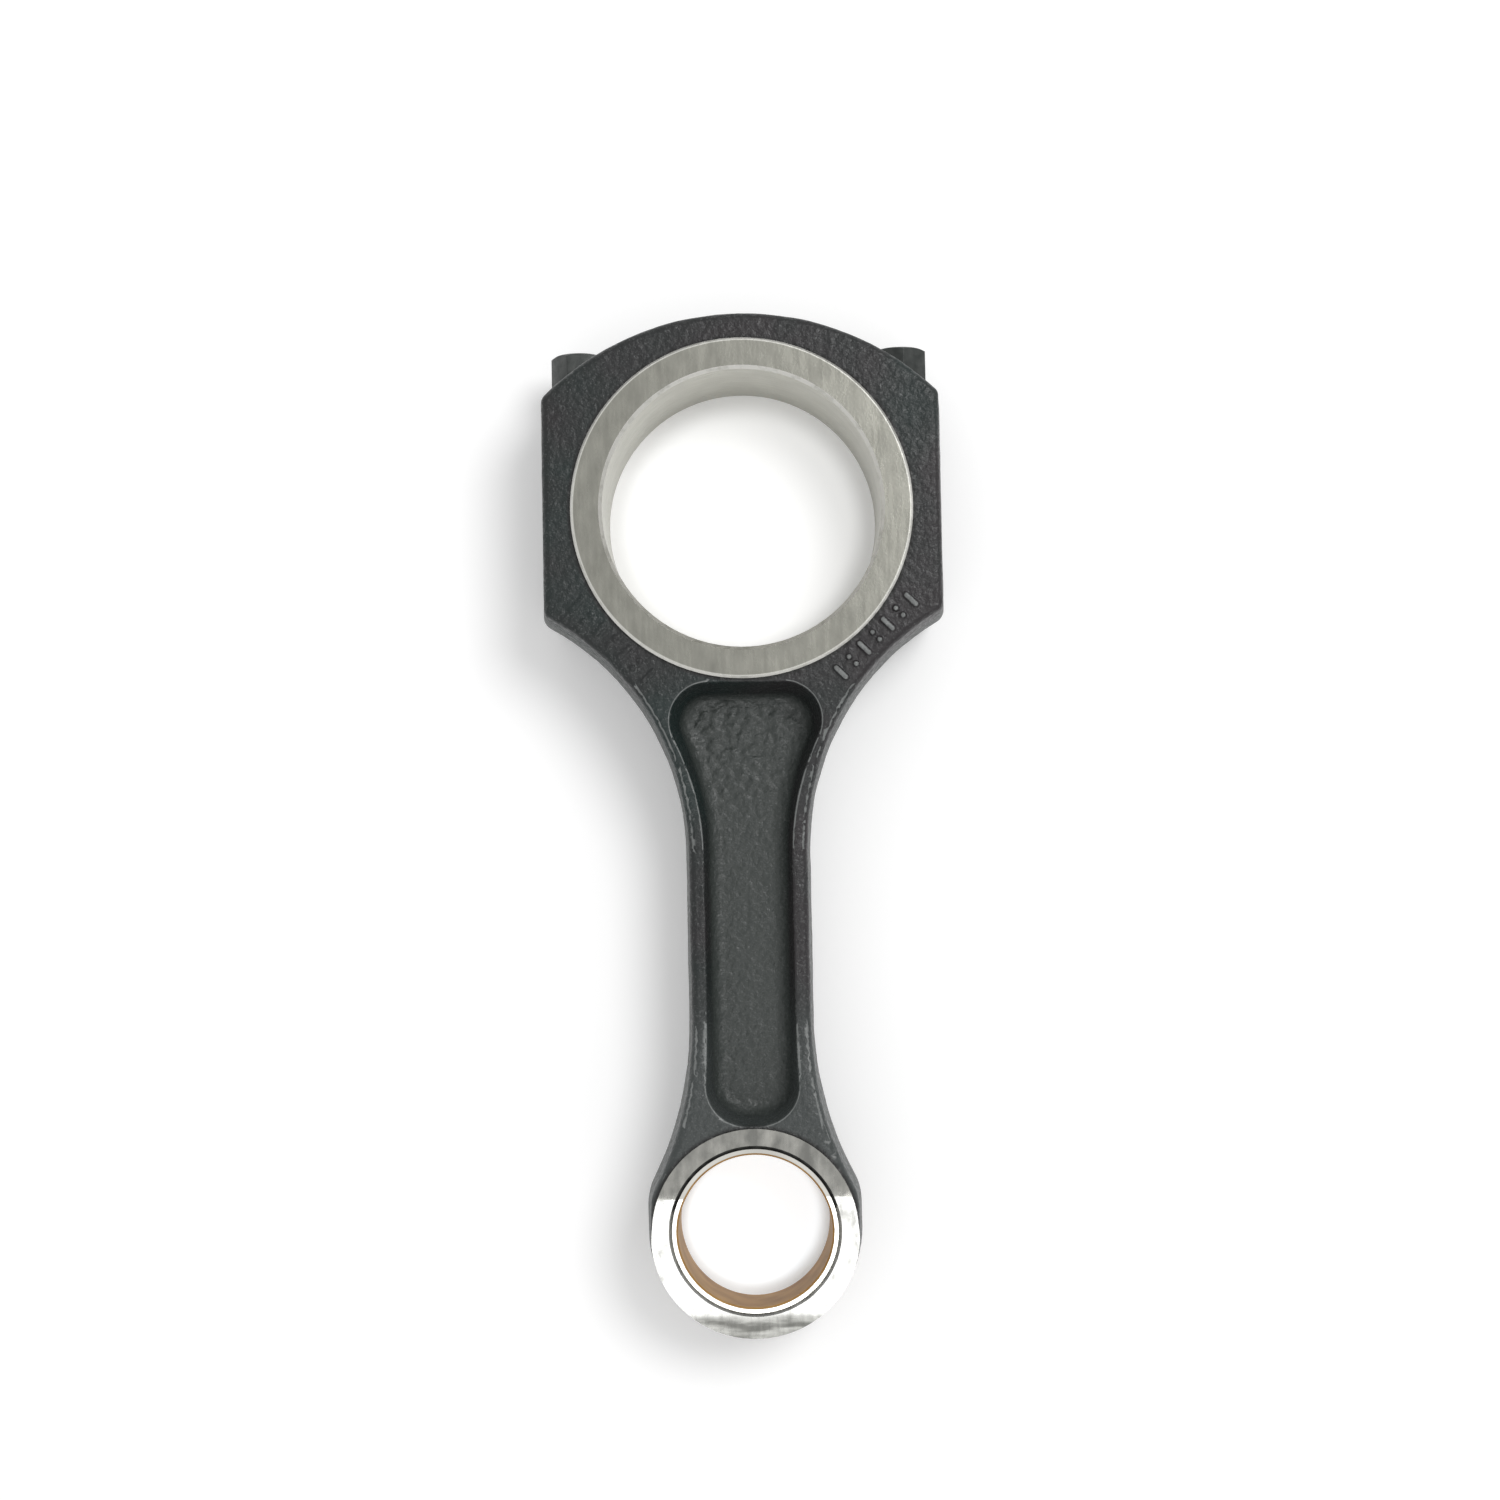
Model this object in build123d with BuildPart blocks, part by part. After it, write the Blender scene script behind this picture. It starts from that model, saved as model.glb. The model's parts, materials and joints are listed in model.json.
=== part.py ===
from build123d import *
from math import radians, sin, sqrt, tan
import os

os.makedirs("parts", exist_ok=True)

# A forged connecting rod that lies flat: the bores run along Z, the rod runs along Y,
# and X goes across it. The origin is the centre of the big-end bore at mid-thickness,
# the bearing cap is on the +Y side and the small end is on the -Y side.

# ---- driving dimensions, mm ----
centre_distance = 188.0     # big-end bore to gudgeon-pin bore
big_bore_dia = 73.0         # housing bore for the bearing shells
big_width = 37.0            # across the two machined thrust faces
thrust_ring_dia = 89.5      # outside of the machined thrust ring
thrust_ring_chamfer = 0.5
thrust_ring_step = 1.2      # the ring stands this much above the forged face
big_bore_chamfer = 0.9

shoulder_width = 107.0      # across the bolt shoulders, at the parting line of the dies
crown_height = 53.0         # top of the cap above the bore centre, at the parting line
crown_radius = 75.0         # one arc from shoulder to shoulder over the cap
shoulder_corner = 4.0       # rounded upper corners of the cap's shoulders
heel_corner = 4.0           # rounded lower corners of the rod's shoulders

beam_width = 33.0           # waist of the I-beam at the parting line
beam_depth = 25.0           # thickness of the I-beam at the waist
upper_flank_radius = 70.0   # sweep from the waist out to the rod's shoulders
upper_flank_start = 89.8    # distance below the big-end centre where that sweep starts
lower_flank_radius = 90.0   # sweep from the waist out to the small end
lower_flank_start = 54.0    # distance above the small-end centre where that sweep starts
rim_width = 5.0             # flange of the I, from the parting line to the pocket's edge
web_thickness = 9.0
pocket_top_gap = 0.9        # between the thrust ring and the pocket's upper edge
pocket_foot_gap = 1.4       # between the small-end boss and the pocket's lower edge
pocket_top_corner = 7.0
pocket_foot_corner = 8.0
pocket_draft = 14.0         # degrees, walls of the pocket
pocket_floor_radius = 4.0
pocket_lip_radius = 0.8

eye_radius = 28.2           # small-end eye at the parting line
eye_offset = 0.8            # the eye is this much thicker at the tip than at the beam
eye_shoulder_corner = 14.0
small_bore_dia = 43.0       # bore that the bush is pressed into
small_width = 32.0          # across the parallel part of the small end
small_boss_dia = 53.4       # machined facing around the small end
small_boss_step = 0.6
small_bore_chamfer = 0.9
wedge_start = 9.0           # the taper starts this far above the pin centre
wedge_angle = 11.0          # degrees, on each side

die_draft = 5.0             # degrees, outer walls of the forging
edge_radius = 2.0           # rounded outer edges of the forging

pin_bore_dia = 40.0         # inside of the bush
bush_recess = 0.3           # the bush's ends lie this far below the faces
bush_chamfer = 0.5

bolt_pitch = 86.0
bolt_thread_dia = 10.0
bolt_shank_dia = 9.2
bolt_end_depth = 24.0       # end of the bolt below the joint face
bolt_thread_length = 26.0
bolt_seat_height = 31.5     # spot-faced bolt seat above the joint face
bolt_head_height = 12.5
bolt_across_flats = 13.0
bolt_washer_step = 0.6
bolt_head_chamfer = 30.0    # degrees
bolt_end_chamfer = 1.0
left_bolt_turn = 8.0        # degrees, where the left head's flats stop
right_bolt_turn = 36.0      # degrees, where the right head's flats stop

# ---- clearances, mm ----
thread_clearance = 0.06     # radial, bolt in its tapped hole
cap_hole_clearance = 0.3    # radial, bolt in the cap
socket_clearance = 1.6      # radial, around the head in its spot face
tapped_run_out = 3.0        # depth of the tapped hole past the bolt's end

# ---- values that follow ----
big_half = big_width / 2
forged_half = big_half - thrust_ring_step
small_half = small_width / 2
small_forged_half = small_half - small_boss_step
beam_half = beam_depth / 2
web_half = web_thickness / 2
shoulder_half = shoulder_width / 2
waist_half = beam_width / 2
bolt_x = bolt_pitch / 2
bolt_hex_radius = bolt_across_flats / sqrt(3)
spot_face_radius = bolt_hex_radius + socket_clearance
small_y = -centre_distance
eye_y = small_y - eye_offset
crown_y = crown_height - crown_radius
reach = centre_distance + eye_radius + crown_height     # longer than any cut has to be

upper_sweep_y = -upper_flank_start
upper_sweep_x = waist_half + upper_flank_radius
lower_sweep_y = small_y + lower_flank_start
lower_sweep_x = waist_half + lower_flank_radius

# the pocket's floor outline lies inside its edge by what its drafted walls take up
pocket_wall = (beam_half - web_half) * tan(radians(pocket_draft))
pocket_half = waist_half - rim_width - pocket_wall
pocket_flank_radius = upper_flank_radius + rim_width + pocket_wall
pocket_top_wall = (forged_half - web_half) * tan(radians(pocket_draft))
pocket_top_y = -(thrust_ring_dia / 2 + pocket_top_gap) - pocket_top_wall
pocket_foot_y = small_y + small_boss_dia / 2 + pocket_foot_gap + pocket_wall


def across(radius, offset):
    """Half chord of a circle at a given offset from its centre."""
    return sqrt(radius ** 2 - offset ** 2)


def rise_radius(first, second):
    """Radius of the arc between two points that leaves one of them level."""
    run = first[0] - second[0]
    rise = abs(first[1] - second[1])
    return (run ** 2 + rise ** 2) / (2 * rise)


shoulder_crown_y = crown_y + across(crown_radius, shoulder_half)
heel_y = upper_sweep_y + across(upper_flank_radius, upper_sweep_x - shoulder_half)
pocket_top_half = upper_sweep_x - across(pocket_flank_radius, pocket_top_y - upper_sweep_y)
eye_shoulder_y = lower_sweep_y - across(lower_flank_radius, lower_sweep_x - eye_radius)


def at_height(shapes, y):
    """The vertices that lie at one place along the rod."""
    return [v for v in shapes.vertices() if abs(v.Y - y) < 0.01]


def rim_edges(part, draft):
    """The edges where the forging's top meets walls of one draft angle."""
    tops = part.faces().filter_by(lambda f: f.center().Z > web_half and abs(f.normal_at(f.center()).Z) > 0.9)
    walls = part.faces().filter_by(lambda f: abs(abs(f.normal_at(f.center()).Z) - sin(radians(draft))) < 0.05)
    return tops.edges().filter_by(lambda e: any(e.is_same(w) for w in walls.edges()))


def face_rims(part, radius):
    """Round edges of one radius on the two machined faces of the big end."""
    rounds = part.edges().filter_by(GeomType.CIRCLE)
    return rounds.filter_by(
        lambda e: abs(e.radius - radius) < 0.01
        and abs(abs(e.center().Z) - big_half) < 0.01
    )


def small_bore_rims(part, radius):
    """The rims of a bore in the small end, on the parallel faces and on the taper."""
    bore = part.faces().filter_by(
        lambda f: f.geom_type == GeomType.CYLINDER
        and abs((f.radius or 0) - radius) < 0.01
        and abs(f.axis_of_rotation.position.Y - small_y) < 0.01
    )
    return bore.edges().filter_by(lambda e: abs(e.center().Z) > web_half)


def wedge_profile(face_half):
    """Side view of what the taper takes off one face of the small end."""
    start = small_y + wedge_start
    end = small_y - small_boss_dia
    drop = (start - end) * tan(radians(wedge_angle))
    Polygon((start, face_half), (end, face_half - drop), (end, face_half + small_half),
            (start, face_half + small_half), align=None)


# ---- blank: rod and cap forged as one piece, drafted from the parting line ----
crown_top = (0, crown_height)
crown_corner = (shoulder_half, shoulder_crown_y)
heel = (shoulder_half, heel_y)
waist_top = (waist_half, upper_sweep_y)
waist_foot = (waist_half, lower_sweep_y)
eye_shoulder = (eye_radius, eye_shoulder_y)
eye_side = (eye_radius, eye_y)
eye_tip = (0, eye_y - eye_radius)

with BuildPart() as blank:
    with BuildSketch(Plane.XY) as plan:
        with BuildLine():
            RadiusArc(eye_tip, eye_side, -eye_radius)
            Line(eye_side, eye_shoulder)
            RadiusArc(eye_shoulder, waist_foot, lower_flank_radius)
            Line(waist_foot, waist_top)
            RadiusArc(waist_top, heel, upper_flank_radius)
            Line(heel, crown_corner)
            RadiusArc(crown_corner, crown_top, -crown_radius)
            mirror(about=Plane.YZ)
        make_face()
        fillet(at_height(plan, shoulder_crown_y), shoulder_corner)
        fillet(at_height(plan, heel_y), heel_corner)
        fillet(at_height(plan, eye_shoulder_y), eye_shoulder_corner)
    extrude(amount=forged_half, taper=die_draft)
    # the beam and the small end are thinner than the big end
    with BuildSketch(Plane.YZ):
        with BuildLine():
            beam_top = (upper_sweep_y, beam_half)
            beam_foot = (lower_sweep_y, beam_half)
            big_shoulder = (-thrust_ring_dia / 2, forged_half)
            small_shoulder = (small_y + small_boss_dia / 2, small_forged_half)
            blend_middle = ((big_shoulder[0] + beam_top[0]) / 2, (forged_half + beam_half) / 2)
            RadiusArc(big_shoulder, blend_middle, -rise_radius(big_shoulder, blend_middle))
            RadiusArc(blend_middle, beam_top, rise_radius(blend_middle, beam_top))
            Line(beam_top, beam_foot)
            foot_middle = ((beam_foot[0] + small_shoulder[0]) / 2, (beam_half + small_forged_half) / 2)
            RadiusArc(beam_foot, foot_middle, rise_radius(beam_foot, foot_middle))
            RadiusArc(foot_middle, small_shoulder, -rise_radius(foot_middle, small_shoulder))
            Polyline(small_shoulder, (-reach, small_forged_half), (-reach, big_width),
                     (big_shoulder[0], big_width), big_shoulder)
        make_face()
    extrude(amount=shoulder_width, both=True, mode=Mode.SUBTRACT)
    # dies leave no sharp edge along the top of the walls
    fillet(rim_edges(blank, die_draft), edge_radius)
    # one pocket on each side makes the beam an I
    with BuildSketch(Plane.XY.offset(web_half)) as pocket:
        with BuildLine():
            Polyline((0, pocket_foot_y), (pocket_half, pocket_foot_y), (pocket_half, upper_sweep_y))
            RadiusArc((pocket_half, upper_sweep_y), (pocket_top_half, pocket_top_y), pocket_flank_radius)
            Line((pocket_top_half, pocket_top_y), (0, pocket_top_y))
            mirror(about=Plane.YZ)
        make_face()
        fillet(at_height(pocket, pocket_top_y), pocket_top_corner)
        fillet(at_height(pocket, pocket_foot_y), pocket_foot_corner)
    extrude(amount=big_width, taper=-pocket_draft, mode=Mode.SUBTRACT)
    fillet(rim_edges(blank, pocket_draft), pocket_lip_radius)
    floor = blank.faces().filter_by(Plane.XY).filter_by(lambda f: abs(f.center().Z - web_half) < 0.01)
    fillet(floor.edges(), pocket_floor_radius)
    mirror(about=Plane.XY)
    # machined thrust ring and small-end facing stand proud of the forged skin
    with BuildSketch(Plane.XY):
        Circle(thrust_ring_dia / 2)
    extrude(amount=big_half, both=True)
    chamfer(face_rims(blank, thrust_ring_dia / 2), thrust_ring_chamfer)
    with BuildSketch(Plane.XY.offset(web_half)):
        with Locations((0, small_y)):
            Circle(small_boss_dia / 2)
    extrude(amount=small_half - web_half)
    with BuildSketch(Plane.XY.offset(-web_half)):
        with Locations((0, small_y)):
            Circle(small_boss_dia / 2)
    extrude(amount=-(small_half - web_half))
    # the small end tapers towards its tip
    with BuildSketch(Plane.YZ):
        wedge_profile(small_half)
        mirror(about=Plane.XZ)
    extrude(amount=shoulder_half, both=True, mode=Mode.SUBTRACT)
    # both bores are finished after the faces
    with BuildSketch(Plane.XY):
        Circle(big_bore_dia / 2)
        with Locations((0, small_y)):
            Circle(small_bore_dia / 2)
    extrude(amount=big_half, both=True, mode=Mode.SUBTRACT)
    chamfer(face_rims(blank, big_bore_dia / 2), big_bore_chamfer)
    chamfer(small_bore_rims(blank, small_bore_dia / 2), small_bore_chamfer)

# ---- rod: everything below the joint face, with a tapped hole in each shoulder ----
with BuildPart() as rod_forging:
    add(blank.part)
    split(bisect_by=Plane.XZ, keep=Keep.TOP)
    with Locations(*[Plane(origin=(x, 0, 0), x_dir=(1, 0, 0), z_dir=(0, 1, 0)) for x in (-bolt_x, bolt_x)]):
        Hole(bolt_thread_dia / 2 + thread_clearance, depth=bolt_end_depth + tapped_run_out)
rod_forging.part.label = "rod_forging"
export_step(rod_forging.part, "parts/rod_forging.step")

# ---- cap: everything above the joint face, spot-faced for the bolt heads ----
with BuildPart() as bearing_cap:
    add(blank.part)
    split(bisect_by=Plane.XZ, keep=Keep.BOTTOM)
    with Locations(*[Plane(origin=(x, bolt_seat_height, 0), x_dir=(1, 0, 0), z_dir=(0, 1, 0))
                     for x in (-bolt_x, bolt_x)]):
        Cylinder(spot_face_radius, crown_height, align=(Align.CENTER, Align.CENTER, Align.MIN),
                 mode=Mode.SUBTRACT)
        Hole(bolt_thread_dia / 2 + cap_hole_clearance, depth=bolt_seat_height)
bearing_cap.part.label = "bearing_cap"
export_step(bearing_cap.part, "parts/bearing_cap.step")

# ---- bush: a bronze sleeve pressed into the small end and cut to the same taper ----
with BuildPart() as small_end_bush:
    bush_half = small_half - bush_recess
    with BuildSketch(Plane.XY):
        with Locations((0, small_y)):
            Circle(small_bore_dia / 2)
            Circle(pin_bore_dia / 2, mode=Mode.SUBTRACT)
    extrude(amount=bush_half, both=True)
    with BuildSketch(Plane.YZ):
        wedge_profile(bush_half)
        mirror(about=Plane.XZ)
    extrude(amount=small_bore_dia, both=True, mode=Mode.SUBTRACT)
    chamfer(small_bore_rims(small_end_bush, pin_bore_dia / 2), bush_chamfer)
small_end_bush.part.label = "small_end_bush"
export_step(small_end_bush.part, "parts/small_end_bush.step")


# ---- cap bolts: hexagon heads, a relieved shank and a threaded end ----
for side, x, turn in (("left", -bolt_x, left_bolt_turn), ("right", bolt_x, right_bolt_turn)):
    seat = Plane(origin=(x, bolt_seat_height, 0), x_dir=(1, 0, 0), z_dir=(0, 1, 0))
    under_head = bolt_seat_height + bolt_end_depth
    with BuildPart() as bolt:
        with BuildSketch(seat):
            RegularPolygon(bolt_hex_radius, 6, rotation=turn)
        extrude(amount=bolt_head_height)
        # the head's corners are turned off to a cone at the top and to a washer face below
        with BuildSketch(Plane(origin=seat.origin, x_dir=(1, 0, 0), z_dir=(0, 0, 1))):
            crown_out = bolt_hex_radius + 1
            crown_drop = (crown_out - bolt_across_flats / 2) * tan(radians(bolt_head_chamfer))
            Polygon((bolt_across_flats / 2, bolt_head_height), (crown_out, bolt_head_height - crown_drop),
                    (crown_out, bolt_head_height), align=None)
            Polygon((bolt_across_flats / 2, 0), (crown_out, 0), (crown_out, bolt_washer_step),
                    (bolt_across_flats / 2, bolt_washer_step), align=None)
        revolve(axis=Axis(seat.origin, (0, 1, 0)), mode=Mode.SUBTRACT)
        with BuildSketch(seat):
            Circle(bolt_shank_dia / 2)
        extrude(amount=-under_head)
        with BuildSketch(seat.offset(-under_head)):
            Circle(bolt_thread_dia / 2)
        extrude(amount=bolt_thread_length)
        chamfer(bolt.faces().sort_by(Axis.Y)[0].edges(), bolt_end_chamfer)
    bolt.part.label = f"cap_bolt_{side}"
    export_step(bolt.part, f"parts/cap_bolt_{side}.step")
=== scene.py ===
# A forged connecting rod with its cap, cap bolts and bush, lying on a pale table.
import json
from math import cos, hypot, pi, radians, sin, sqrt, tan

import bmesh
import bpy
from mathutils import Matrix, Vector, noise


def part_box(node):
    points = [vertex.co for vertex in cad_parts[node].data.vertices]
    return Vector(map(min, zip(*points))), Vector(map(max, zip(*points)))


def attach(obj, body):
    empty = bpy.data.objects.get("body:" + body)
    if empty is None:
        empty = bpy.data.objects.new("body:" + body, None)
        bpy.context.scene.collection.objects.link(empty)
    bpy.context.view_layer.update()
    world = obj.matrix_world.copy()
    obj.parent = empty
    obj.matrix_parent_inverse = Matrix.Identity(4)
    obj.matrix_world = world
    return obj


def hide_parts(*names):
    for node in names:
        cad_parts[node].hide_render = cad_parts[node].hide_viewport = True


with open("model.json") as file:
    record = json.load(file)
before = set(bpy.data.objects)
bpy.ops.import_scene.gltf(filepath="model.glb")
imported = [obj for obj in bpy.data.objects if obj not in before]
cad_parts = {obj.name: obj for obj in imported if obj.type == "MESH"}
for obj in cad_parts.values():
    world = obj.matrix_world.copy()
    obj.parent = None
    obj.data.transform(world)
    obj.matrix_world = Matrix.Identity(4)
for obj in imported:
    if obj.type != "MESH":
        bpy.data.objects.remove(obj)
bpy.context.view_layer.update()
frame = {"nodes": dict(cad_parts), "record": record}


# ---- rod and cap ---------------------------------------------------------
# One drop forging, cracked apart at the big-end bore and bolted together again.
# The skin keeps the dies' slightly uneven surface under a satin charcoal coat;
# thrust faces, small-end faces and bores are machined bright afterwards.
mount = {m["name"]: m for m in frame["record"]["mounts"]}
big_bore_r = mount["crankpin_bore"]["dims"]["r_mm"] / 1000
small_y = mount["gudgeon_pin_bore"]["pos_m"][1]
big_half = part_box("bearing_cap")[1][2]
bush_r = (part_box("small_end_bush")[1][0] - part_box("small_end_bush")[0][0]) / 2
thrust_ring_r = 0.04475
thrust_step = 0.0012
small_half = 0.016  # half the thickness over the small end's faces
small_boss_r = 0.0267
small_step = 0.0006
wedge_y = small_y + 0.009  # the taper starts here and runs to the tip
wedge_tilt = radians(11)
bolt_x = 0.043
spot_face_r = 0.0092
bolt_seat = 0.0315
web_half = 0.0045
tapped_r = 0.0055
tapped_end = -0.028
thread_pitch = 0.0015
joint_clearance = 0.00002
mark_row = 0.0486  # from the big bore's axis out to the row of die marks
mark_pitch = 0.0044
mark_relief = 0.0009
bar_half = 0.0017
dot_out = 0.0013
stroke_half = 0.00095
stroke_slope = 0.0004
mark_step = 0.0005  # longest mesh edge at the marks, on the rough floor, elsewhere
rough_step = 0.0010
skin_step = 0.0020
swell_height = 0.00012
grain_height = 0.00005
peel_height = 0.00042
edge_from = radians(8)  # a smaller turn counts as a flat
edge_ramp = radians(5)

COAT, FACE, BORE, FRACTURE, BEVEL, TAPPED, SEAT_RIM = range(7)


def finish_of(face):
    """Which finish a face of the forging has, told from where it lies and how it faces."""
    c = face.calc_center_median()
    n = face.normal
    from_big = hypot(c.x, c.y)
    from_small = hypot(c.x, c.y - small_y)
    from_bolt = hypot(abs(c.x) - bolt_x, c.z)
    if abs(n.y) > 0.99 and abs(c.y) < joint_clearance:
        return FRACTURE
    if from_big < big_bore_r + joint_clearance and abs(n.z) < 0.1:
        return BORE
    if from_big < thrust_ring_r and abs(c.z) > big_half - thrust_step + joint_clearance:
        return BEVEL if 0.3 < abs(n.z) < 0.95 else FACE
    if from_bolt < tapped_r and tapped_end < c.y < 0 and abs(n.y) < 0.9:
        return TAPPED
    in_spot_face = c.y < bolt_seat - 0.0001 or n.y > 0.99 or from_bolt > 0.009
    if from_bolt < spot_face_r and c.y > tapped_end and in_spot_face:
        return FACE
    if from_small < bush_r + 0.001 and abs(n.z) < 0.9:
        # The bush's chamfer on the side towards the beam takes the painted-shade finish.
        return SEAT_RIM if abs(n.z) > 0.3 and c.y > small_y + 0.006 else FACE
    if from_small < small_boss_r + joint_clearance and abs(c.z) > small_half - small_step + joint_clearance:
        return FACE
    on_taper = c.y < wedge_y and abs(abs(n.z) - cos(wedge_tilt)) < 0.004 and n.y < -0.1
    return FACE if on_taper else COAT


def mark_place(co):
    """Where a point lies in the row of die marks: along the flank and out from its middle."""
    return (abs(co.x) + co.y) / sqrt(2), (abs(co.x) - co.y) / sqrt(2) - mark_row


def die_mark(co):
    """Height of the raised bars and dots that the die leaves on the rod's two lower shoulders."""
    along, out = mark_place(co)
    number = round(along / mark_pitch)
    if abs(number) > 3 or co.z < web_half * 2 or co.y > -0.012:
        return 0.0
    side = along - number * mark_pitch
    if number % 2:
        near = hypot(side, max(0.0, abs(out) - bar_half))
    else:
        near = hypot(side, abs(out) - dot_out)
    relief = mark_relief if co.x > 0 else mark_relief * 0.4
    return relief * max(0.0, min(1.0, (stroke_half - near) / stroke_slope))


def mesh_step(co):
    """Longest edge wanted at a place: short at the die marks and on the pocket's rough floor."""
    along, out = mark_place(co)
    if abs(along) < 0.019 and abs(out) < 0.0034 and co.z > web_half * 2 and co.y < -0.008:
        return mark_step
    rough = abs(co.x) < 0.019 and -0.100 < co.y < -0.046 and abs(co.z) < 0.007
    return rough_step if rough else skin_step


def die_surface(co, facing):
    """Height of the forged skin over its nominal surface."""
    swell = noise.noise(co * 140) * swell_height
    grain = noise.noise(co * 420 + Vector((3.1, 0.7, 5.2))) * grain_height
    floor = max(0.0, 1 - max(0.0, abs(co.z) - web_half) / 0.0025) * max(0.0, 2 * abs(facing.z) - 1)
    upper = max(0.2, 1.4 - max(0.0, -0.054 - co.y) / 0.030)
    peel = noise.noise(co * 430 + Vector((9.0, 2.0, 4.0))) + 0.6 * noise.noise(co * 900)
    return swell + grain + peel * peel_height * floor * upper + die_mark(co)


def note_outward_edges(bm, facing_up=False):
    """Writes how sharply the surface turns outwards at each point, for the rubbed edges, which also carry a
    painted highlight; with facing_up only on faces that face up towards the lamps, and on the die marks'
    tops.
    """
    layer = bm.verts.layers.float.new("outward")
    bm.normal_update()
    bend = {}
    for v in bm.verts:
        turn = max([e.calc_face_angle_signed(0) for e in v.link_edges if e.is_manifold] + [0])
        bend[v] = min(1.0, max(0.0, (turn - edge_from) / edge_ramp))
        if facing_up:
            bend[v] *= min(1.0, max(0.0, (abs(v.normal.z) - 0.60) / 0.25))
            bend[v] = max(bend[v], die_mark(v.co) / mark_relief)
    for v in bm.verts:
        v[layer] = bend[v]


def forged_piece(node, body):
    """The CAD shape as one connected, evenly divided mesh with the dies' uneven skin."""
    bm = bmesh.new()
    bm.from_mesh(frame["nodes"][node].data)
    bmesh.ops.remove_doubles(bm, verts=bm.verts, dist=2e-6)
    bmesh.ops.dissolve_limit(bm, angle_limit=radians(0.3), verts=bm.verts, edges=bm.edges)
    bmesh.ops.triangulate(bm, faces=bm.faces)
    for face in bm.faces:
        face.material_index = finish_of(face)
    for _ in range(9):
        long_edges = [e for e in bm.edges if any(f.material_index == COAT for f in e.link_faces)
                      and e.calc_length() > mesh_step((e.verts[0].co + e.verts[1].co) / 2)]
        if not long_edges:
            break
        bmesh.ops.subdivide_edges(bm, edges=long_edges, cuts=1)
        flat = [f for f in bm.faces if len(f.verts) > 3]
        bmesh.ops.triangulate(bm, faces=flat)
    note_outward_edges(bm, facing_up=True)
    moves = {}
    for v in bm.verts:
        if all(f.material_index == COAT for f in v.link_faces):
            moves[v] = v.normal * die_surface(v.co, v.normal)
    for v, move in moves.items():
        v.co += move
    for e in bm.edges:
        same = len({f.material_index for f in e.link_faces}) == 1
        e.smooth = same and e.is_manifold and e.calc_face_angle() < radians(28)
    for face in bm.faces:
        face.smooth = True
    mesh = bpy.data.meshes.new(node + "_skin")
    bm.to_mesh(mesh)
    bm.free()
    piece = bpy.data.objects.new(node + "_skin", mesh)
    bpy.context.collection.objects.link(piece)
    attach(piece, body)
    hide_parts(node)
    return piece


def shader(name, colour, metallic, roughness):
    """A Principled material with its constant numbers set on the shader itself."""
    material = bpy.data.materials.new(name)
    material.use_nodes = True
    bsdf = material.node_tree.nodes["Principled BSDF"]
    bsdf.inputs["Base Color"].default_value = (*colour, 1)
    bsdf.inputs["Metallic"].default_value = metallic
    bsdf.inputs["Roughness"].default_value = roughness
    return material, bsdf


def object_place(material):
    """Object coordinates, in metres, for the patterns of a material."""
    return material.node_tree.nodes.new("ShaderNodeTexCoord").outputs["Object"]


def noise_of(material, place, scale, detail=3.0, stretch=(1, 1, 1)):
    nodes, links = material.node_tree.nodes, material.node_tree.links
    mapping = nodes.new("ShaderNodeMapping")
    mapping.inputs["Scale"].default_value = stretch
    links.new(place, mapping.inputs["Vector"])
    texture = nodes.new("ShaderNodeTexNoise")
    texture.inputs["Scale"].default_value = scale
    texture.inputs["Detail"].default_value = detail
    links.new(mapping.outputs["Vector"], texture.inputs["Vector"])
    return texture.outputs["Fac"]


def ramp(material, value, stops):
    nodes, links = material.node_tree.nodes, material.node_tree.links
    node = nodes.new("ShaderNodeValToRGB")
    elements = node.color_ramp.elements
    while len(elements) < len(stops):
        elements.new(0.5)
    for element, (at, colour) in zip(elements, stops):
        element.position = at
        element.color = (*colour, 1) if len(colour) == 3 else (colour[0],) * 3 + (1,)
    links.new(value, node.inputs["Fac"])
    return node.outputs["Color"]


def bump(material, height, distance, strength=1.0, below=None):
    nodes, links = material.node_tree.nodes, material.node_tree.links
    node = nodes.new("ShaderNodeBump")
    node.inputs["Distance"].default_value = distance
    node.inputs["Strength"].default_value = strength
    links.new(height, node.inputs["Height"])
    if below:
        links.new(below, node.inputs["Normal"])
    return node.outputs["Normal"]


def blend(material, mask, below, above):
    """Mixes two colours or two numbers by a mask; either may be a constant."""
    nodes, links = material.node_tree.nodes, material.node_tree.links
    node = nodes.new("ShaderNodeMix")
    node.data_type = "RGBA"
    links.new(mask, node.inputs["Factor"])
    for socket, value in ((node.inputs[6], below), (node.inputs[7], above)):
        if isinstance(value, tuple):
            socket.default_value = (*value, 1)
        else:
            links.new(value, socket)
    return node.outputs[2]


def from_axis(material, place, axis_y):
    """Distance of a point from one of the two bores' axes."""
    nodes, links = material.node_tree.nodes, material.node_tree.links
    centred = nodes.new("ShaderNodeVectorMath")
    centred.operation = "SUBTRACT"
    centred.inputs[1].default_value = (0, axis_y, 0)
    links.new(place, centred.inputs[0])
    level = nodes.new("ShaderNodeVectorMath")
    level.operation = "MULTIPLY"
    level.inputs[1].default_value = (1, 1, 0)
    links.new(centred.outputs[0], level.inputs[0])
    length = nodes.new("ShaderNodeVectorMath")
    length.operation = "LENGTH"
    links.new(level.outputs[0], length.inputs[0])
    return length.outputs["Value"]


def between(material, value, start, end):
    """Rises from 0 to 1 as a value goes from start to end, and may fall when they are swapped."""
    nodes, links = material.node_tree.nodes, material.node_tree.links
    node = nodes.new("ShaderNodeMapRange")
    node.interpolation_type = "SMOOTHSTEP"
    node.inputs["From Min"].default_value = start
    node.inputs["From Max"].default_value = end
    links.new(value, node.inputs["Value"])
    return node.outputs["Result"]


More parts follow.
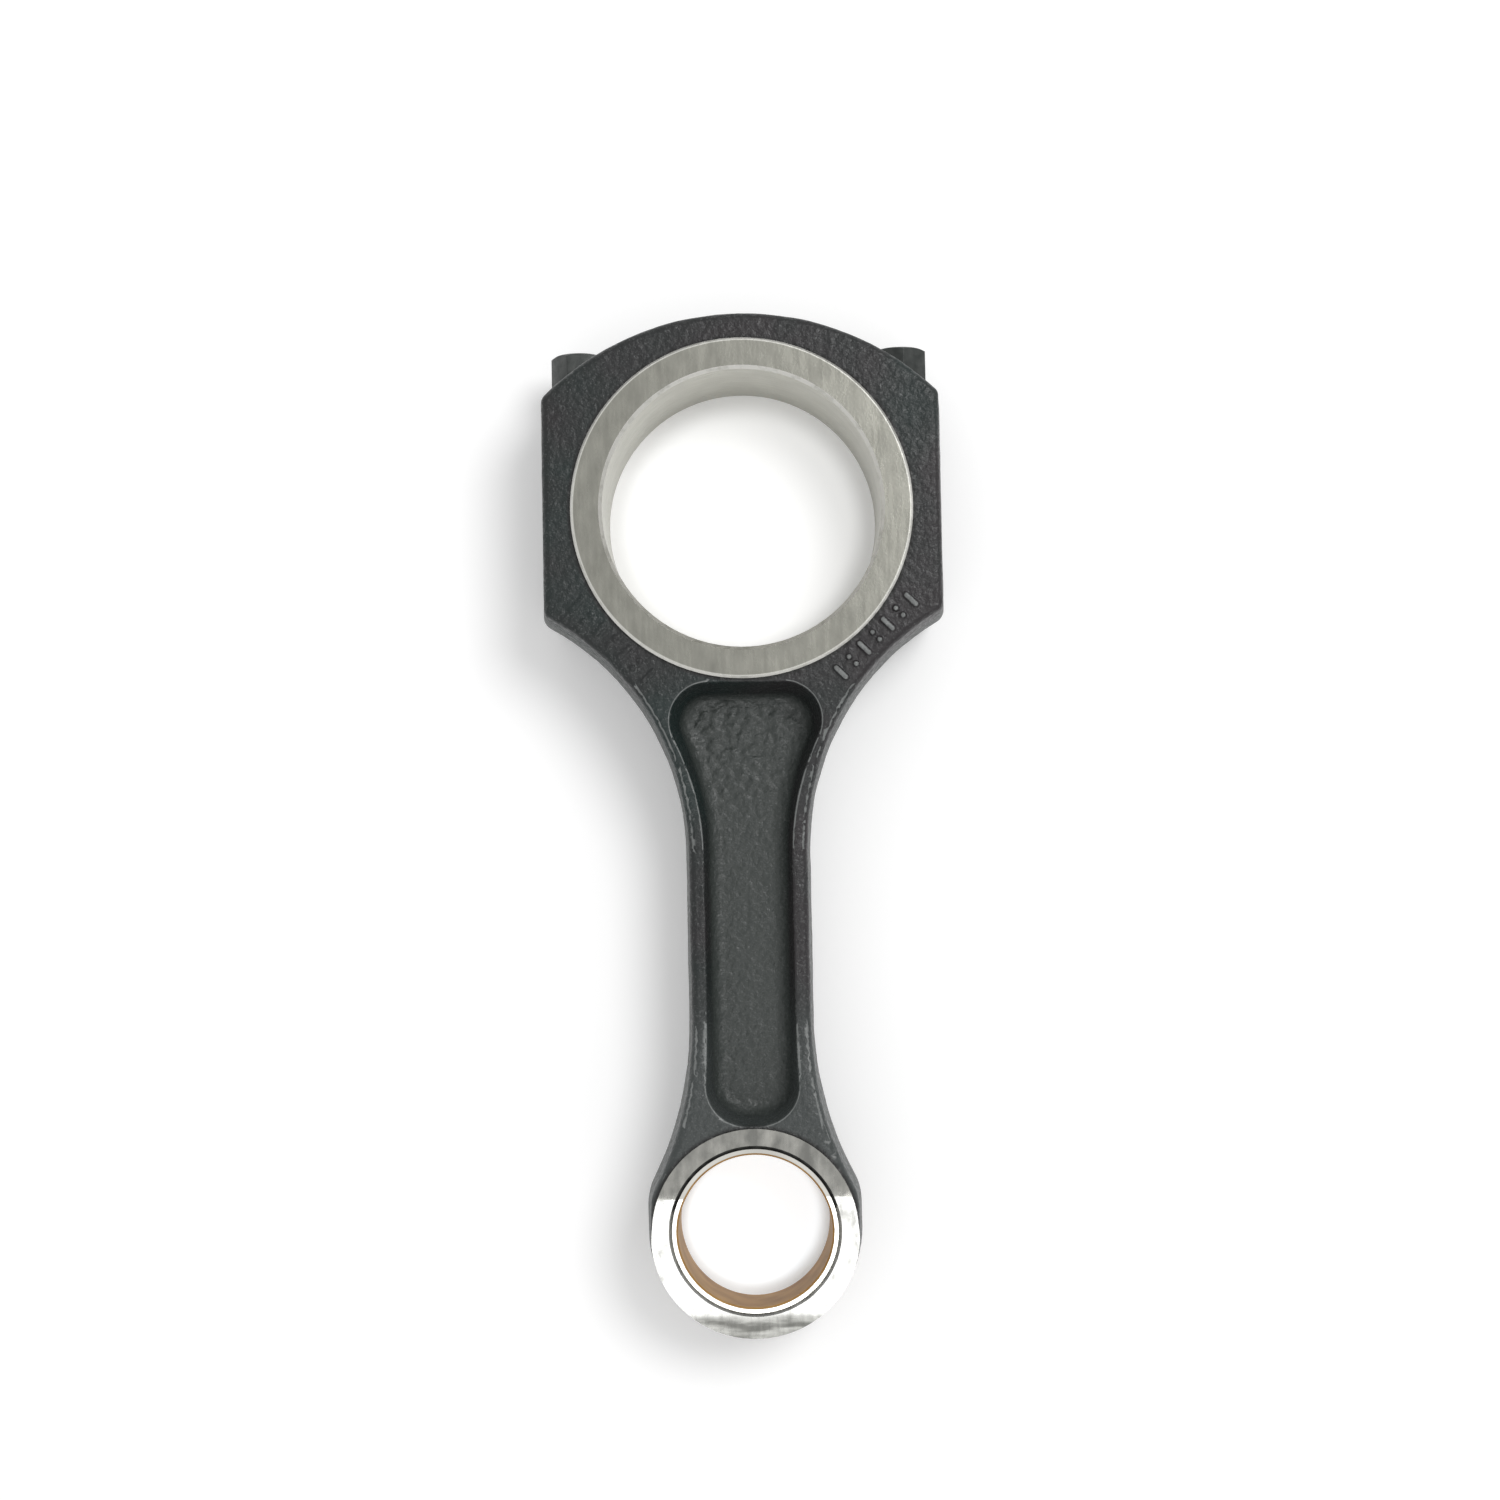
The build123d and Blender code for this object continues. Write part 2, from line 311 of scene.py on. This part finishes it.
def along(material, place, axis, absolute=False):
    """One coordinate of a point, or its distance from the middle plane."""
    nodes, links = material.node_tree.nodes, material.node_tree.links
    parts = nodes.new("ShaderNodeSeparateXYZ")
    links.new(place, parts.inputs[0])
    if not absolute:
        return parts.outputs[axis]
    node = nodes.new("ShaderNodeMath")
    node.operation = "ABSOLUTE"
    links.new(parts.outputs[axis], node.inputs[0])
    return node.outputs[0]


def times(material, first, second):
    nodes, links = material.node_tree.nodes, material.node_tree.links
    node = nodes.new("ShaderNodeMath")
    node.operation = "MULTIPLY"
    links.new(first, node.inputs[0])
    links.new(second, node.inputs[1])
    return node.outputs[0]


def worn_and_highlit_edges_group():
    """Mask of the outward edges where handling has rubbed a finish thin, which also paints a highlight
    along them.
    """
    group = bpy.data.node_groups.new("worn_and_highlit_edges", "ShaderNodeTree")
    for name in ("Reach", "Breakup"):
        group.interface.new_socket(name, in_out="INPUT", socket_type="NodeSocketFloat")
    group.interface.new_socket("Mask", in_out="OUTPUT", socket_type="NodeSocketFloat")
    nodes, links = group.nodes, group.links
    given, given_out = nodes.new("NodeGroupInput"), nodes.new("NodeGroupOutput")
    place = nodes.new("ShaderNodeTexCoord")
    patches = nodes.new("ShaderNodeTexNoise")
    patches.inputs["Scale"].default_value = 420
    patches.inputs["Detail"].default_value = 4
    links.new(place.outputs["Object"], patches.inputs["Vector"])
    outward = nodes.new("ShaderNodeAttribute")
    outward.attribute_name = "outward"
    crest = nodes.new("ShaderNodeMapRange")
    crest.interpolation_type = "SMOOTHSTEP"
    crest.inputs["From Min"].default_value = 0.45
    links.new(outward.outputs["Fac"], crest.inputs["Value"])
    reach = nodes.new("ShaderNodeMath")
    reach.operation = "MULTIPLY"
    links.new(crest.outputs["Result"], reach.inputs[0])
    links.new(given.outputs["Reach"], reach.inputs[1])
    gap = nodes.new("ShaderNodeMath")
    gap.operation = "MULTIPLY"
    links.new(patches.outputs["Fac"], gap.inputs[0])
    links.new(given.outputs["Breakup"], gap.inputs[1])
    mask = nodes.new("ShaderNodeMath")
    mask.operation = "SUBTRACT"
    mask.use_clamp = True
    links.new(reach.outputs[0], mask.inputs[0])
    links.new(gap.outputs[0], mask.inputs[1])
    links.new(mask.outputs[0], given_out.inputs["Mask"])
    return group


worn_and_highlit_edges = worn_and_highlit_edges_group()


def wear_and_highlight(material, reach, breakup):
    node = material.node_tree.nodes.new("ShaderNodeGroup")
    node.node_tree = worn_and_highlit_edges
    node.inputs["Reach"].default_value = reach
    node.inputs["Breakup"].default_value = breakup
    return node.outputs["Mask"]


def coat_material():
    material, bsdf = shader("charcoal_coat", (0.02, 0.021, 0.021), 0.0, 0.5)
    links = material.node_tree.links
    place = object_place(material)
    cloud = noise_of(material, place, 32, 3)
    tint = ramp(material, cloud, [(0.36, (0.006, 0.015, 0.014)), (0.5, (0.009, 0.0125, 0.012)),
                                  (0.64, (0.015, 0.0125, 0.014))])
    web = between(material, along(material, place, "Z", True), 0.0095, 0.0055)
    low = between(material, along(material, place, "Y"), -0.118, -0.150)
    footed = blend(material, low, tint, (0.038, 0.044, 0.043))
    scaled = blend(material, web, footed, (0.036, 0.042, 0.039))
    dust = ramp(material, noise_of(material, place, 1500, 2), [(0.58, (0.0,)), (0.74, (0.6,))])
    dusty = blend(material, dust, scaled, (0.085, 0.09, 0.088))
    seam = between(material, along(material, place, "Y", True), 0.0006, 0.0016)
    # Lighter rubbed edges: partly real wear, partly a painted highlight along the fillets, pocket rims and
    # die-mark tops.
    worn_and_highlit = times(material, wear_and_highlight(material, 1.25, 0.75), seam)
    edged = blend(material, worn_and_highlit, dusty, (0.17, 0.178, 0.175))
    from_big = from_axis(material, place, 0)
    from_small = from_axis(material, place, small_y)
    # Painted shade: the coat is darkened in narrow strips round the foot of the thrust ring's step and of
    # the small boss's step.
    under_ring = between(material, from_big, thrust_ring_r + 0.0012, thrust_ring_r + 0.0003)
    under_boss = between(material, from_small, small_boss_r + 0.0014, small_boss_r)
    crease_shade_colour = blend(material, under_ring, edged, (0.004, 0.004, 0.004))
    links.new(blend(material, under_boss, crease_shade_colour, (0.006, 0.006, 0.006)), bsdf.inputs["Base Color"])
    grain = noise_of(material, place, 900, 4)
    rough = ramp(material, grain, [(0.3, (0.30,)), (0.7, (0.56,))])
    links.new(blend(material, worn_and_highlit, rough, (0.34, 0.34, 0.34)), bsdf.inputs["Roughness"])
    bsdf.inputs["Specular IOR Level"].default_value = 0.42
    skin = bump(material, noise_of(material, place, 520, 3), 0.00050)
    links.new(bump(material, grain, 0.00012, 1.0, skin), bsdf.inputs["Normal"])
    return material


def ground_face_material():
    material, bsdf = shader("ground_steel", (0.35, 0.345, 0.31), 1.0, 0.32)
    links = material.node_tree.links
    place = object_place(material)
    mottle = noise_of(material, place, 260, 5, (1, 0.6, 1))
    ground = ramp(material, mottle, [(0.30, (0.27, 0.268, 0.237)), (0.70, (0.335, 0.332, 0.294))])
    # Painted highlight: a bright band on the face just inside the thrust ring's outer edge widens the
    # chamfer's highlight line.
    rim = between(material, from_axis(material, place, 0), thrust_ring_r - 0.0009, thrust_ring_r - 0.0007)
    worn_ground = ramp(material, mottle, [(0.35, (0.23, 0.23, 0.215)), (0.65, (0.42, 0.415, 0.385))])
    at_small_end = between(material, along(material, place, "Y"), small_y / 2, small_y / 2 - 0.001)
    highlit_rim_colour = blend(material, rim, ground, (0.62, 0.615, 0.575))
    level = blend(material, at_small_end, highlit_rim_colour, worn_ground)
    taper = between(material, along(material, place, "Y"), wedge_y + 0.0001, wedge_y - 0.0001)
    # The taper darkens in streaks towards the tip.
    tip = between(material, along(material, place, "Y"), small_y - 0.0205, small_y - 0.0235)
    streak = noise_of(material, place, 420, 4, (0.18, 1, 1))
    darker_tip_streaks = ramp(material, streak, [(0.40, (0.055, 0.055, 0.051)), (0.62, (0.15, 0.15, 0.142))])
    mottled = ramp(material, mottle, [(0.30, (0.18, 0.18, 0.172)), (0.42, (0.28, 0.28, 0.27)),
                                      (0.60, (0.36, 0.36, 0.35))])
    milled = blend(material, tip, mottled, darker_tip_streaks)
    links.new(blend(material, taper, level, milled), bsdf.inputs["Base Color"])
    grind = noise_of(material, place, 900, 4, (1, 0.10, 1))
    links.new(ramp(material, grind, [(0.3, (0.22,)), (0.7, (0.30,))]), bsdf.inputs["Roughness"])
    dents = bump(material, noise_of(material, place, 1300, 3), 0.00002)
    links.new(bump(material, grind, 0.000004, 1.0, dents), bsdf.inputs["Normal"])
    return material


def bevel_material():
    # The ring's chamfers get a bright base: partly fresh turned steel, partly a painted highlight.
    material, bsdf = shader("turned_bevel_with_highlight", (0.72, 0.71, 0.67), 1.0, 0.30)
    links = material.node_tree.links
    nicks = noise_of(material, object_place(material), 420, 4)
    links.new(ramp(material, nicks, [(0.34, (0.60, 0.595, 0.55)), (0.5, (0.76, 0.75, 0.71))]),
              bsdf.inputs["Base Color"])
    links.new(bump(material, nicks, 0.00002), bsdf.inputs["Normal"])
    return material


def shadowed_rim_material():
    """Painted shade: the chamfer between the small end's face and its bush, on the side towards the beam,
    coloured dark.
    """
    material, bsdf = shader("shaded_chamfer", (0.03, 0.03, 0.028), 0.6, 0.45)
    shade_mottle = noise_of(material, object_place(material), 500, 3)
    tone = ramp(material, shade_mottle, [(0.3, (0.016, 0.016, 0.015)), (0.7, (0.06, 0.06, 0.056))])
    material.node_tree.links.new(tone, bsdf.inputs["Base Color"])
    return material


def bored_material():
    material, bsdf = shader("bored_steel", (0.50, 0.49, 0.43), 1.0, 0.32)
    links = material.node_tree.links
    place = object_place(material)
    feed = noise_of(material, place, 60, 2, (1, 1, 40))
    links.new(ramp(material, feed, [(0.3, (0.26,)), (0.7, (0.40,))]), bsdf.inputs["Roughness"])
    stain = noise_of(material, place, 150, 5)
    links.new(ramp(material, stain, [(0.35, (0.385, 0.38, 0.333)), (0.65, (0.425, 0.42, 0.37))]),
              bsdf.inputs["Base Color"])
    links.new(bump(material, feed, 0.000008), bsdf.inputs["Normal"])
    return material


def fracture_material():
    material, bsdf = shader("cracked_steel", (0.30, 0.30, 0.30), 1.0, 0.55)
    links = material.node_tree.links
    place = object_place(material)
    grain = noise_of(material, place, 1400, 6)
    links.new(ramp(material, grain, [(0.35, (0.17, 0.17, 0.175)), (0.65, (0.36, 0.36, 0.36))]),
              bsdf.inputs["Base Color"])
    coarse = bump(material, noise_of(material, place, 420, 3), 0.0005)
    links.new(bump(material, grain, 0.0002, 1.0, coarse), bsdf.inputs["Normal"])
    return material


def tapped_material():
    """A tapped hole: turns of thread down its wall, with painted shade darkening the thread's roots."""
    material, bsdf = shader("tapped_thread", (0.22, 0.22, 0.215), 1.0, 0.42)
    nodes, links = material.node_tree.nodes, material.node_tree.links
    turns = nodes.new("ShaderNodeTexWave")
    turns.wave_type = "BANDS"
    turns.bands_direction = "Y"
    turns.inputs["Scale"].default_value = 0.314 / thread_pitch
    links.new(object_place(material), turns.inputs["Vector"])
    links.new(ramp(material, turns.outputs["Fac"], [(0.2, (0.05, 0.05, 0.05)), (0.8, (0.34, 0.34, 0.33))]),
              bsdf.inputs["Base Color"])
    links.new(bump(material, turns.outputs["Fac"], 0.0009), bsdf.inputs["Normal"])
    return material


finishes = (coat_material(), ground_face_material(), bored_material(), fracture_material(),
            bevel_material(), tapped_material(), shadowed_rim_material())
for node, body in (("rod_forging", "rod"), ("bearing_cap", "cap")):
    piece = forged_piece(node, body)
    for material in finishes:
        piece.data.materials.append(material)

# ---- bush ----------------------------------------------------------------
# A steel-backed bronze sleeve, pressed in and bored to the pin's size, its ends cut to
# the eye's taper. Only the bored wall is bronze; the cut ends show the steel back.
bush = frame["nodes"]["small_end_bush"]
pin_r = mount["gudgeon_pin_bore"]["dims"]["r_mm"] / 1000
lining = 0.0004
lined, lined_bsdf = shader("bush_bronze_bored", (0.52, 0.33, 0.14), 1.0, 0.30)
links = lined.node_tree.links
lined_place = object_place(lined)
back = between(lined, from_axis(lined, lined_place, small_y), pin_r + lining, pin_r + lining * 1.3)
stain = noise_of(lined, lined_place, 120, 4)
bronze = ramp(lined, stain, [(0.3, (0.29, 0.155, 0.048)), (0.7, (0.43, 0.255, 0.088))])
links.new(blend(lined, back, bronze, (0.62, 0.61, 0.57)), lined_bsdf.inputs["Base Color"])
links.new(blend(lined, back, (0.1, 0.1, 0.1), (1.0, 1.0, 1.0)), lined_bsdf.inputs["Metallic"])
bored_lines = noise_of(lined, lined_place, 60, 2, (1, 1, 40))
lined_bsdf.inputs["Specular IOR Level"].default_value = 0.2
smooth_back = ramp(lined, bored_lines, [(0.3, (0.26,)), (0.7, (0.40,))])
links.new(blend(lined, back, (0.55, 0.55, 0.55), smooth_back), lined_bsdf.inputs["Roughness"])
links.new(bump(lined, bored_lines, 0.000008), lined_bsdf.inputs["Normal"])
for slot in bush.material_slots:
    slot.material = lined

# ---- cap bolts -----------------------------------------------------------
# Two M10 black-oxide hexagon bolts: a forged and turned head with its washer face,
# a relieved shank, and a rolled thread that holds in the rod's shoulder.
head_height = 0.0125
head_flat = 0.0065
washer_step = 0.0006
shank_r = 0.0046
thread_r = 0.00496
thread_root = 0.00408
thread_length = 0.026


def black_oxide():
    material, bsdf = shader("black_oxide", (0.012, 0.014, 0.014), 0.25, 0.36)
    bsdf.inputs["Specular IOR Level"].default_value = 0.35
    links = material.node_tree.links
    place = object_place(material)
    cloud = noise_of(material, place, 240, 4)
    tone = ramp(material, cloud, [(0.32, (0.003, 0.0065, 0.0062)), (0.68, (0.009, 0.0125, 0.012))])
    # Lighter rubbed edges on the head: partly real wear, partly a painted highlight.
    worn_and_highlit = wear_and_highlight(material, 0.7, 0.7)
    links.new(blend(material, worn_and_highlit, tone, (0.10, 0.105, 0.10)), bsdf.inputs["Base Color"])
    grain = noise_of(material, place, 1600, 3)
    links.new(ramp(material, grain, [(0.3, (0.28,)), (0.7, (0.46,))]), bsdf.inputs["Roughness"])
    links.new(bump(material, grain, 0.00003), bsdf.inputs["Normal"])
    return material


def turned(bm, profile, axis_x, steps):
    """Turns a profile of (radius, height) points round a bolt's axis."""
    points = [bm.verts.new((axis_x + r, y, 0)) for r, y in profile]
    edges = [bm.edges.new(pair) for pair in zip(points, points[1:])]
    bmesh.ops.spin(bm, geom=points + edges, cent=(axis_x, 0, 0), axis=(0, 1, 0), angle=2 * pi,
                   steps=steps, use_merge=True)


def rolled_thread(bm, axis_x, end):
    """One ridge wound up the bolt from its end, run out at both ends."""
    steps = 28
    turns = int(thread_length / thread_pitch)
    crest = thread_pitch * 0.06
    slope = thread_pitch * 0.32
    rise, fall = 0.24 * thread_pitch + slope, 0.44 * thread_pitch + slope
    ridge = [(thread_root, 0), (thread_root, 0.24 * thread_pitch), (thread_r - crest, rise),
             (thread_r, rise + crest), (thread_r, fall - crest), (thread_r - crest, fall),
             (thread_root, thread_pitch)]
    points = [bm.verts.new((axis_x + r, end + y, 0)) for r, y in ridge]
    edges = [bm.edges.new(pair) for pair in zip(points, points[1:])]
    old = set(bm.verts) - set(points)
    bmesh.ops.spin(bm, geom=points + edges, cent=(axis_x, 0, 0), axis=(0, 1, 0), angle=2 * pi * turns,
                   steps=steps * turns, dvec=(0, thread_pitch / steps, 0))
    wound = [v for v in bm.verts if v not in old]
    bmesh.ops.remove_doubles(bm, verts=wound, dist=1e-6)
    top = end + thread_length
    for v in bm.verts:
        if v in old:
            continue
        r = hypot(v.co.x - axis_x, v.co.z)
        limit = min(thread_r, 0.0039 + (v.co.y - end), shank_r + (top - v.co.y))
        if r > limit:
            v.co.x = axis_x + (v.co.x - axis_x) * limit / r
            v.co.z = v.co.z * limit / r


def cap_bolt(side, turn):
    """One bolt, its head's flats stopped at the given angle."""
    low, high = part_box("cap_bolt_" + side)
    axis_x = (low[0] + high[0]) / 2
    top, end = high[1], low[1]
    seat = top - head_height
    corner = head_flat * 1.2
    bm = bmesh.new()
    drop = (corner - head_flat + 0.0002) * tan(radians(30))
    turned(bm, [(0, top - 0.0003), (0.0044, top - 0.0003), (0.0050, top), (head_flat - 0.0002, top),
                (corner, top - drop), (corner, seat + washer_step), (head_flat, seat + washer_step),
                (head_flat, seat), (0, seat)], axis_x, 72)
    bmesh.ops.remove_doubles(bm, verts=bm.verts, dist=1e-6)
    for flat_number in range(6):
        angle = radians(turn + 30 + 60 * flat_number)
        facing = Vector((cos(angle), 0, -sin(angle)))
        cut = bmesh.ops.bisect_plane(bm, geom=bm.verts[:] + bm.edges[:] + bm.faces[:], dist=1e-7,
                                     plane_co=Vector((axis_x, 0, 0)) + facing * head_flat,
                                     plane_no=facing, clear_outer=True)
        rim = [e for e in cut["geom_cut"] if isinstance(e, bmesh.types.BMEdge)]
        bmesh.ops.holes_fill(bm, edges=rim, sides=0)
    bmesh.ops.dissolve_limit(bm, angle_limit=radians(1), verts=bm.verts, edges=bm.edges)
    sharp = [e for e in bm.edges if e.is_manifold and e.calc_face_angle() > radians(18)]
    bmesh.ops.bevel(bm, geom=sharp, offset=0.00022, segments=2, affect="EDGES", profile=0.5,
                    material=-1, clamp_overlap=True)
    fillet = 0.0006
    core = thread_root - 0.00002
    turned(bm, [(shank_r + fillet, seat + 0.0001), (shank_r + fillet, seat),
                (shank_r + fillet * 0.3, seat - fillet * 0.3), (shank_r, seat - fillet),
                (shank_r, end + thread_length), (core, end + thread_length - 0.0006),
                (core, end + 0.0004), (core - 0.0005, end), (0, end)], axis_x, 48)
    rolled_thread(bm, axis_x, end)
    bmesh.ops.remove_doubles(bm, verts=bm.verts, dist=1e-6)
    bmesh.ops.recalc_face_normals(bm, faces=bm.faces)
    note_outward_edges(bm)
    for face in bm.faces:
        face.smooth = True
    for e in bm.edges:
        e.smooth = e.is_manifold and e.calc_face_angle() < radians(34)
    mesh = bpy.data.meshes.new("cap_bolt_" + side + "_turned")
    bm.to_mesh(mesh)
    bm.free()
    piece = bpy.data.objects.new("cap_bolt_" + side + "_turned", mesh)
    bpy.context.collection.objects.link(piece)
    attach(piece, "bolt_" + side)
    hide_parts("cap_bolt_" + side)
    return piece


oxide = black_oxide()
for side, turn in (("left", 8), ("right", 36)):
    cap_bolt(side, turn).data.materials.append(oxide)

# ---- table, light and camera --------------------------------------------
table_z = -big_half
floor_mesh = bpy.data.meshes.new("table")
bm = bmesh.new()
bmesh.ops.create_grid(bm, x_segments=1, y_segments=1, size=3.0,
                      matrix=Matrix.Translation((0, small_y / 2, table_z)))
bm.to_mesh(floor_mesh)
bm.free()
table = bpy.data.objects.new("table", floor_mesh)
bpy.context.collection.objects.link(table)
white, white_bsdf = shader("white_table", (0.95, 0.95, 0.95), 0.0, 0.9)
white_place = object_place(white)
# Painted light: the table glows brighter inside the two bores, standing in for lamp light that the bore
# walls keep off the table.
in_big = between(white, from_axis(white, white_place, 0), big_bore_r, big_bore_r * 0.78)
in_small = between(white, from_axis(white, white_place, small_y), pin_r * 1.05, pin_r * 0.80)
glow = blend(white, in_big, (0.12, 0.12, 0.12), (0.40, 0.40, 0.40))
glow_in_small = blend(white, in_small, glow, (0.64, 0.69, 0.73))
white.node_tree.links.new(glow_in_small, white_bsdf.inputs["Emission Color"])
white_bsdf.inputs["Emission Strength"].default_value = 1.0
table.data.materials.append(white)

world = bpy.data.worlds.new("studio")
bpy.context.scene.world = world
world.use_nodes = True
world.node_tree.nodes["Background"].inputs["Color"].default_value = (1, 1, 1, 1)
world.node_tree.nodes["Background"].inputs["Strength"].default_value = 0.75


def softbox(name, place, target, size, power):
    light = bpy.data.lights.new(name, "AREA")
    light.shape = "DISK"
    light.size = size
    light.energy = power
    lamp = bpy.data.objects.new(name, light)
    bpy.context.collection.objects.link(lamp)
    lamp.location = place
    lamp.rotation_euler = (Vector(target) - Vector(place)).to_track_quat("-Z", "Y").to_euler()
    return lamp


middle = Vector((0, small_y / 2, 0))
softbox("key", middle + Vector((0.6, 0.5, 1.3)), middle, 0.7, 9)
small_end = Vector((0, small_y, 0))
window = softbox("window", small_end + Vector((0.03, -0.62, 1.0)), small_end, 0.5, 3.2)
window.visible_diffuse = False

view_from = Vector((0.0029, -0.0964, 0.6385))
view_to = Vector((0.0010, -0.0635, big_half))
camera_data = bpy.data.cameras.new("camera")
camera_data.lens = 57.5
camera_data.sensor_width = 36
camera_data.clip_start = 0.01
camera = bpy.data.objects.new("camera", camera_data)
bpy.context.collection.objects.link(camera)
bpy.context.scene.camera = camera
roll = radians(1.1)
back = (view_from - view_to).normalized()
up = Vector((sin(roll), cos(roll), 0))
right = up.cross(back).normalized()
up = back.cross(right)
camera.matrix_world = Matrix((right, up, back)).transposed().to_4x4()
camera.location = view_from
bpy.context.scene.view_settings.view_transform = "Standard"
